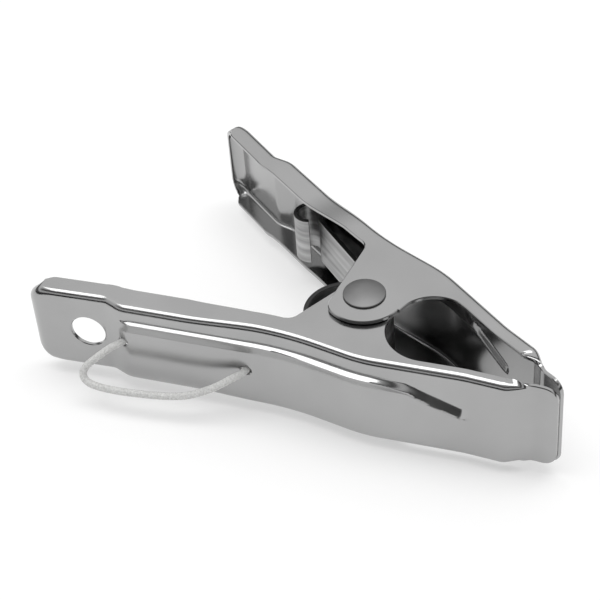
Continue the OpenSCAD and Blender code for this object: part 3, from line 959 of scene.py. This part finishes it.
# Braided cord: a tube whose strands cross in a diamond pattern

def front_pt(s, out, z):
    x, y, a = web(s)
    return Vector((x + out * sind(a), -y - out * cosd(a), z))


# Points of the loop: share of the way between the holes, then mm out of the web and mm down
LOOP = [
    (-0.06, 2, 0.4), (-0.14, 3.4, 2.8), (-0.23, 5, 5.7), (-0.29, 6.4, 8), (-0.29, 7.6, 10.3),
    (-0.19, 8.4, 11.6), (0.1, 8.6, 10.9), (0.51, 7.4, 8.8), (0.76, 5.2, 5), (0.91, 3, 1.4),
]
# How far the cord goes straight out of a hole, and steps of its line
HOLE_OUT = 0.6
ROUTE_STEPS = 12
CORD_STEPS = 420
EASE_PASSES = 130
PATH_STEPS = 30


def cord_route():
    tip_hole = front_pt(TIP_HOLE_S, 0, TIP_HOLE_Z)
    between = front_pt(PIVOT_HOLE_S, 0, PIVOT_HOLE_Z) - tip_hole
    handle_out = Vector((sind(HANDLE_ANGLE), -cosd(HANDLE_ANGLE), 0))
    route = [front_pt(TIP_HOLE_S, out, TIP_HOLE_Z) for out in (-SHEET_T, HOLE_OUT)]
    for share, out, down in LOOP:
        route.append(tip_hole + between * share + handle_out * out - Vector((0, 0, down)))
    return route + [front_pt(PIVOT_HOLE_S, out, PIVOT_HOLE_Z) for out in (HOLE_OUT, -SHEET_T)]


def curve_line(points, steps):
    """A smooth line through the points."""
    def at(i):
        return points[max(0, min(len(points) - 1, i))]

    line = [points[0]]
    for i in range(len(points) - 1):
        a, b, c, d = at(i - 1), at(i), at(i + 1), at(i + 2)
        for k in range(1, steps + 1):
            u = k / steps
            line.append((
                b * 2 + (c - a) * u + (a * 2 - b * 5 + c * 4 - d) * u * u
                + (b * 3 - a - c * 3 + d) * u * u * u
            ) / 2)
    return line


def line_length(line):
    return sum((b - a).length for a, b in zip(line, line[1:]))


def even_line(line, n):
    """The line as n even steps."""
    total = line_length(line)
    out = [line[0]]
    done = 0.0
    for a, b in zip(line, line[1:]):
        step = (b - a).length
        while len(out) < n and done + step >= total * len(out) / n:
            out.append(a.lerp(b, (total * len(out) / n - done) / step))
        done += step
    out.append(line[-1])
    return out


def eased(line, passes):
    """The line with its tight corners eased; the two ends stay."""
    for _ in range(passes):
        middle = [(a + b * 2 + c) / 4 for a, b, c in zip(line, line[1:], line[2:])]
        line = [line[0], *middle, line[-1]]
    return line


STRANDS = 8
PITCH = 5.2
BRAID_DEPTH = 0.1
STRAND_TOP = 0.6
STRAND_UNDER = 0.2
CORD_SIDES = 48
CORD_SHARP_ANGLE = 80


def braided_tube(name, line, radius, closed=False, sides=CORD_SIDES):
    """A tube round a line in mm; its surface is raised where a strand lies on top."""
    bm = bmesh.new()
    n = len(line)
    rings = []
    side = Vector((0, 0, 1))
    dist = 0.0
    for i, p in enumerate(line):
        if closed:
            way = (line[(i + 1) % n] - line[i - 1]).normalized()
        else:
            way = (line[min(n - 1, i + 1)] - line[max(0, i - 1)]).normalized()
        side = (side - way * side.dot(way)).normalized()
        over = way.cross(side)
        if i:
            dist += (p - line[i - 1]).length
        twist = 2 * math.pi * dist / PITCH
        ring = []
        for k in range(sides):
            a = 2 * math.pi * k / sides
            u = math.cos(STRANDS / 2 * (a + twist))
            v = math.cos(STRANDS / 2 * (a - twist))
            lift = STRAND_TOP * max(u, v) + STRAND_UNDER * max(-u, -v)
            r = radius * (1 - BRAID_DEPTH + BRAID_DEPTH * lift)
            q = p + (side * math.cos(a) + over * math.sin(a)) * r
            ring.append(bm.verts.new(metres(*q)))
        rings.append(ring)
    for r0, r1 in zip(rings, rings[1:]):
        strip(bm, r0, r1, closed=True)
    if closed:
        strip(bm, rings[-1], rings[0], closed=True)
    else:
        bm.faces.new(rings[0])
        bm.faces.new(rings[-1])
    return finish_mesh(bm, name, CORD_SHARP_ANGLE)


cord_line = eased(even_line(curve_line(cord_route(), ROUTE_STEPS), CORD_STEPS), EASE_PASSES)
cord_length = line_length(cord_line)
cord = braided_tube("cord_loop_braided", cord_line, CORD_D / 2)
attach(cord, "front")
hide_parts("cord_loop")


# Stopper knots: an overhand knot drawn tight against the inside of the web

KNOT_TUBE_R = 0.92
KNOT_STEPS = 150
KNOT_SIDES = 32


def knot(name, node, s, z):
    a = web(s)[2]
    mid = Vector(inside(s, SHEET_T + KNOT_T / 2))
    right = Vector((-cosd(a), sind(a)))
    depth = Vector((-sind(a), -cosd(a)))
    wide = (KNOT_D / 2 - KNOT_TUBE_R) / 3
    thick = KNOT_T / 2 - KNOT_TUBE_R
    line = []
    for k in range(KNOT_STEPS):
        t = 2 * math.pi * k / KNOT_STEPS
        u = wide * (math.sin(t) + 2 * math.sin(2 * t))
        v = wide * (math.cos(t) - 2 * math.cos(2 * t))
        w = -thick * math.sin(3 * t)
        p = mid + right * u + depth * w
        line.append(Vector((p.x, -p.y, z + v)))
    obj = braided_tube(name, line, KNOT_TUBE_R, closed=True, sides=KNOT_SIDES)
    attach(obj, "front")
    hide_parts(node)
    return obj


tip_knot = knot("tip_knot_tied", "tip_knot", TIP_HOLE_S, TIP_HOLE_Z)
pivot_knot = knot("pivot_knot_tied", "pivot_knot", PIVOT_HOLE_S, PIVOT_HOLE_Z)
cord_path = [tuple(metres(*p)) for p in even_line(cord_line, PATH_STEPS)]
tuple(cord_path[0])


# Materials

NOISE_LOW = 0.3
NOISE_HIGH = 0.7
CLOUD_DETAIL = 6.0
GRAIN_DETAIL = 3.0
GRAIN_DEPTH = 0.0002


def grey(v):
    return (v, v, v)


def add_node(tree, kind, values=()):
    node = tree.nodes.new("ShaderNode" + kind)
    for name, value in values:
        node.inputs[name].default_value = value
    return node


def colour_ramp(tree, stops):
    node = add_node(tree, "ValToRGB")
    elements = node.color_ramp.elements
    for element, (at, colour) in zip(elements, (stops[0], stops[-1])):
        element.position = at
        element.color = (*colour, 1)
    for at, colour in stops[1:-1]:
        elements.new(at).color = (*colour, 1)
    return node


# Mask for painted shade: the noise value is lowered where a face looks straight up or down
def less_upright(tree, value, normal):
    """The value, less how far the surface looks straight up or down."""
    facing = add_node(tree, "SeparateXYZ")
    upright = add_node(tree, "Math")
    upright.operation = "ABSOLUTE"
    less = add_node(tree, "Math")
    less.operation = "SUBTRACT"
    tree.links.new(normal, facing.inputs["Vector"])
    tree.links.new(facing.outputs["Z"], upright.inputs[0])
    tree.links.new(value, less.inputs[0])
    tree.links.new(upright.outputs["Value"], less.inputs[1])
    return less.outputs["Value"]


def material(
    name, metallic, rough, colours, scale, bump, bump_scale, stretch=(1, 1, 1), painted_shade_edge=None,
):
    """Principled surface whose colour, roughness and relief vary with fine noise in object space."""
    mat = bpy.data.materials.new(name)
    mat.use_nodes = True
    tree = mat.node_tree
    tree.nodes.clear()
    link = tree.links.new
    out = add_node(tree, "OutputMaterial")
    bsdf = add_node(tree, "BsdfPrincipled", [("Metallic", metallic)])
    link(bsdf.outputs["BSDF"], out.inputs["Surface"])
    coord = add_node(tree, "TexCoord")
    stretched = add_node(tree, "Mapping", [("Scale", stretch)])
    link(coord.outputs["Object"], stretched.inputs["Vector"])
    cloud = add_node(tree, "TexNoise", [("Scale", scale), ("Detail", CLOUD_DETAIL)])
    link(stretched.outputs["Vector"], cloud.inputs["Vector"])

    shade = cloud.outputs["Fac"]
    stops = [(NOISE_LOW, colours[0]), (NOISE_HIGH, colours[1])]
    if painted_shade_edge:
        # Painted shade: the band's slit edges, which look straight up and down, are painted near black
        # to stand in for the shade on the roll's rim
        shade = less_upright(tree, shade, coord.outputs["Normal"])
        stops = [(0.0, painted_shade_edge)] + stops
    tint = colour_ramp(tree, stops)
    link(shade, tint.inputs["Fac"])
    link(tint.outputs["Color"], bsdf.inputs["Base Color"])

    sheen = add_node(tree, "MapRange", [
        ("From Min", NOISE_LOW), ("From Max", NOISE_HIGH), ("To Min", rough[0]), ("To Max", rough[1]),
    ])
    link(cloud.outputs["Fac"], sheen.inputs["Value"])
    link(sheen.outputs["Result"], bsdf.inputs["Roughness"])

    grain = add_node(tree, "TexNoise", [("Scale", bump_scale), ("Detail", GRAIN_DETAIL)])
    relief = add_node(tree, "Bump", [("Strength", bump), ("Distance", GRAIN_DEPTH)])
    link(coord.outputs["Object"], grain.inputs["Vector"])
    link(grain.outputs["Fac"], relief.inputs["Height"])
    link(relief.outputs["Normal"], bsdf.inputs["Normal"])
    return mat


plated = material(
    "plated_steel", metallic=1.0, rough=(0.15, 0.23), colours=(grey(0.37), grey(0.42)), scale=38,
    bump=0.02, bump_scale=700,
)
rivet_mat = material(
    "rivet_steel", metallic=1.0, rough=(0.5, 0.6), colours=(grey(0.2), grey(0.26)), scale=120,
    bump=0.03, bump_scale=900,
)
# The spring's slit edges get painted shade: near black where the band's faces look straight up or down
spring_mat = material(
    "spring_steel", metallic=1.0, rough=(0.32, 0.45), colours=(grey(0.22), grey(0.58)), scale=1.0,
    bump=0.02, bump_scale=900, stretch=(30, 30, 420), painted_shade_edge=grey(0.05),
)
cord_mat = material(
    "cord_fibre", metallic=0.0, rough=(0.75, 0.9), colours=((0.56, 0.56, 0.55), (0.8, 0.8, 0.79)),
    scale=1800, bump=0.25, bump_scale=3500,
)
for obj, mat, slot in (
    (front, plated, "plated_steel"),
    (rear, plated, "plated_steel"),
    (rivet, rivet_mat, "rivet_steel"),
    (spring, spring_mat, "spring_steel"),
    (cord, cord_mat, "cord"),
    (tip_knot, cord_mat, "cord"),
    (pivot_knot, cord_mat, "cord"),
):
    obj.data.materials.clear()
    obj.data.materials.append(mat)


# Camera as in the photo: angles in degrees, distances in metres, and its target in mm

AZIMUTH = 40.62
ELEVATION = 41.50
ROLL = -4.89
FIELD = 18.994
DISTANCE = 0.49814
TARGET = (-14.605, -10.439, 15)
SENSOR = 36
CLIP_START = 0.01

back = Vector((sind(AZIMUTH) * cosd(ELEVATION), -cosd(AZIMUTH) * cosd(ELEVATION), sind(ELEVATION)))
level = Vector((cosd(AZIMUTH), sind(AZIMUTH), 0))
upright = back.cross(level)
right = level * cosd(ROLL) + upright * sind(ROLL)
up = upright * cosd(ROLL) - level * sind(ROLL)
eye = metres(*TARGET) + back * DISTANCE
cam_data = bpy.data.cameras.new("photo_camera")
cam_data.sensor_width = SENSOR
cam_data.lens = SENSOR / 2 / tand(FIELD / 2)
cam_data.clip_start = CLIP_START
camera = new_object("photo_camera", cam_data)
camera.matrix_world = Matrix((
    (right.x, up.x, back.x, eye.x),
    (right.y, up.y, back.y, eye.y),
    (right.z, up.z, back.z, eye.z),
    (0, 0, 0, 1),
))
bpy.context.scene.camera = camera


# Pale floor

FLOOR_REACH = 3
FLOOR_GREY = 0.56
FLOOR_GLOW = 0.45

floor_mesh = bpy.data.meshes.new("floor")
floor_corners = [(-1, -1), (1, -1), (1, 1), (-1, 1)]
floor_mesh.from_pydata(
    [(x * FLOOR_REACH, y * FLOOR_REACH, 0) for x, y in floor_corners], [], [(0, 1, 2, 3)],
)
floor = new_object("floor", floor_mesh)
floor_mat = bpy.data.materials.new("pale_floor")
floor_mat.use_nodes = True
floor_bsdf = floor_mat.node_tree.nodes["Principled BSDF"]
floor_bsdf.inputs["Base Color"].default_value = (*grey(FLOOR_GREY), 1)
floor_bsdf.inputs["Roughness"].default_value = 1.0
floor_bsdf.inputs["Specular IOR Level"].default_value = 0.0
floor_bsdf.inputs["Emission Color"].default_value = (1, 1, 1, 1)
floor_bsdf.inputs["Emission Strength"].default_value = FLOOR_GLOW
floor_mesh.materials.append(floor_mat)


# Studio light: a bright ceiling panel, a pale wall behind the clip and a dim room in front of it

# Height in the sky, from 0 at the horizon to 1 overhead, and brightness there
WALL_STOPS = [
    (0.0, 0.08), (0.25, 0.12), (0.42, 0.8), (0.6, 1.0), (0.78, 1.0), (0.92, 0.9), (1.0, 1.0),
]
ROOM_STOPS = [
    (0.0, 0.03), (0.3, 0.03), (0.38, 0.7), (0.54, 0.8), (0.62, 0.08), (0.74, 0.1), (0.9, 0.5),
    (1.0, 1.0),
]
WALL_EDGE = 0.25
# Panel: metres and watts
PANEL_SIZE = (1.7, 0.7)
PANEL_HEIGHT = 1.3
PANEL_POWER = 10

world = bpy.data.worlds.new("studio")
bpy.context.scene.world = world
world.use_nodes = True
tree = world.node_tree
tree.nodes.clear()
link = tree.links.new
sky_out = add_node(tree, "OutputWorld")
sky = add_node(tree, "Background")
coord = add_node(tree, "TexCoord")
turned = add_node(tree, "Mapping")
turned.vector_type = "VECTOR"
turned.inputs["Rotation"].default_value = (0, 0, -math.radians(AZIMUTH))
split = add_node(tree, "SeparateXYZ")
link(coord.outputs["Generated"], turned.inputs["Vector"])
link(turned.outputs["Vector"], split.inputs["Vector"])
share = add_node(tree, "MapRange", [("From Min", -WALL_EDGE), ("From Max", WALL_EDGE)])
share.interpolation_type = "SMOOTHSTEP"
link(split.outputs["Y"], share.inputs["Value"])
blend = add_node(tree, "Mix")
blend.data_type = "RGBA"
link(share.outputs["Result"], blend.inputs["Factor"])
for stops, side in ((ROOM_STOPS, "A"), (WALL_STOPS, "B")):
    heights = colour_ramp(tree, [(at, grey(value)) for at, value in stops])
    link(split.outputs["Z"], heights.inputs["Fac"])
    link(heights.outputs["Color"], blend.inputs[side])
link(blend.outputs["Result"], sky.inputs["Color"])
link(sky.outputs["Background"], sky_out.inputs["Surface"])

panel_data = bpy.data.lights.new("ceiling_panel", "AREA")
panel_data.shape = "RECTANGLE"
panel_data.size, panel_data.size_y = PANEL_SIZE
panel_data.energy = PANEL_POWER
panel = new_object("ceiling_panel", panel_data)
panel.location = (0, 0, PANEL_HEIGHT)
panel.rotation_euler = (0, 0, math.radians(AZIMUTH))

bpy.context.scene.view_settings.view_transform = "Standard"
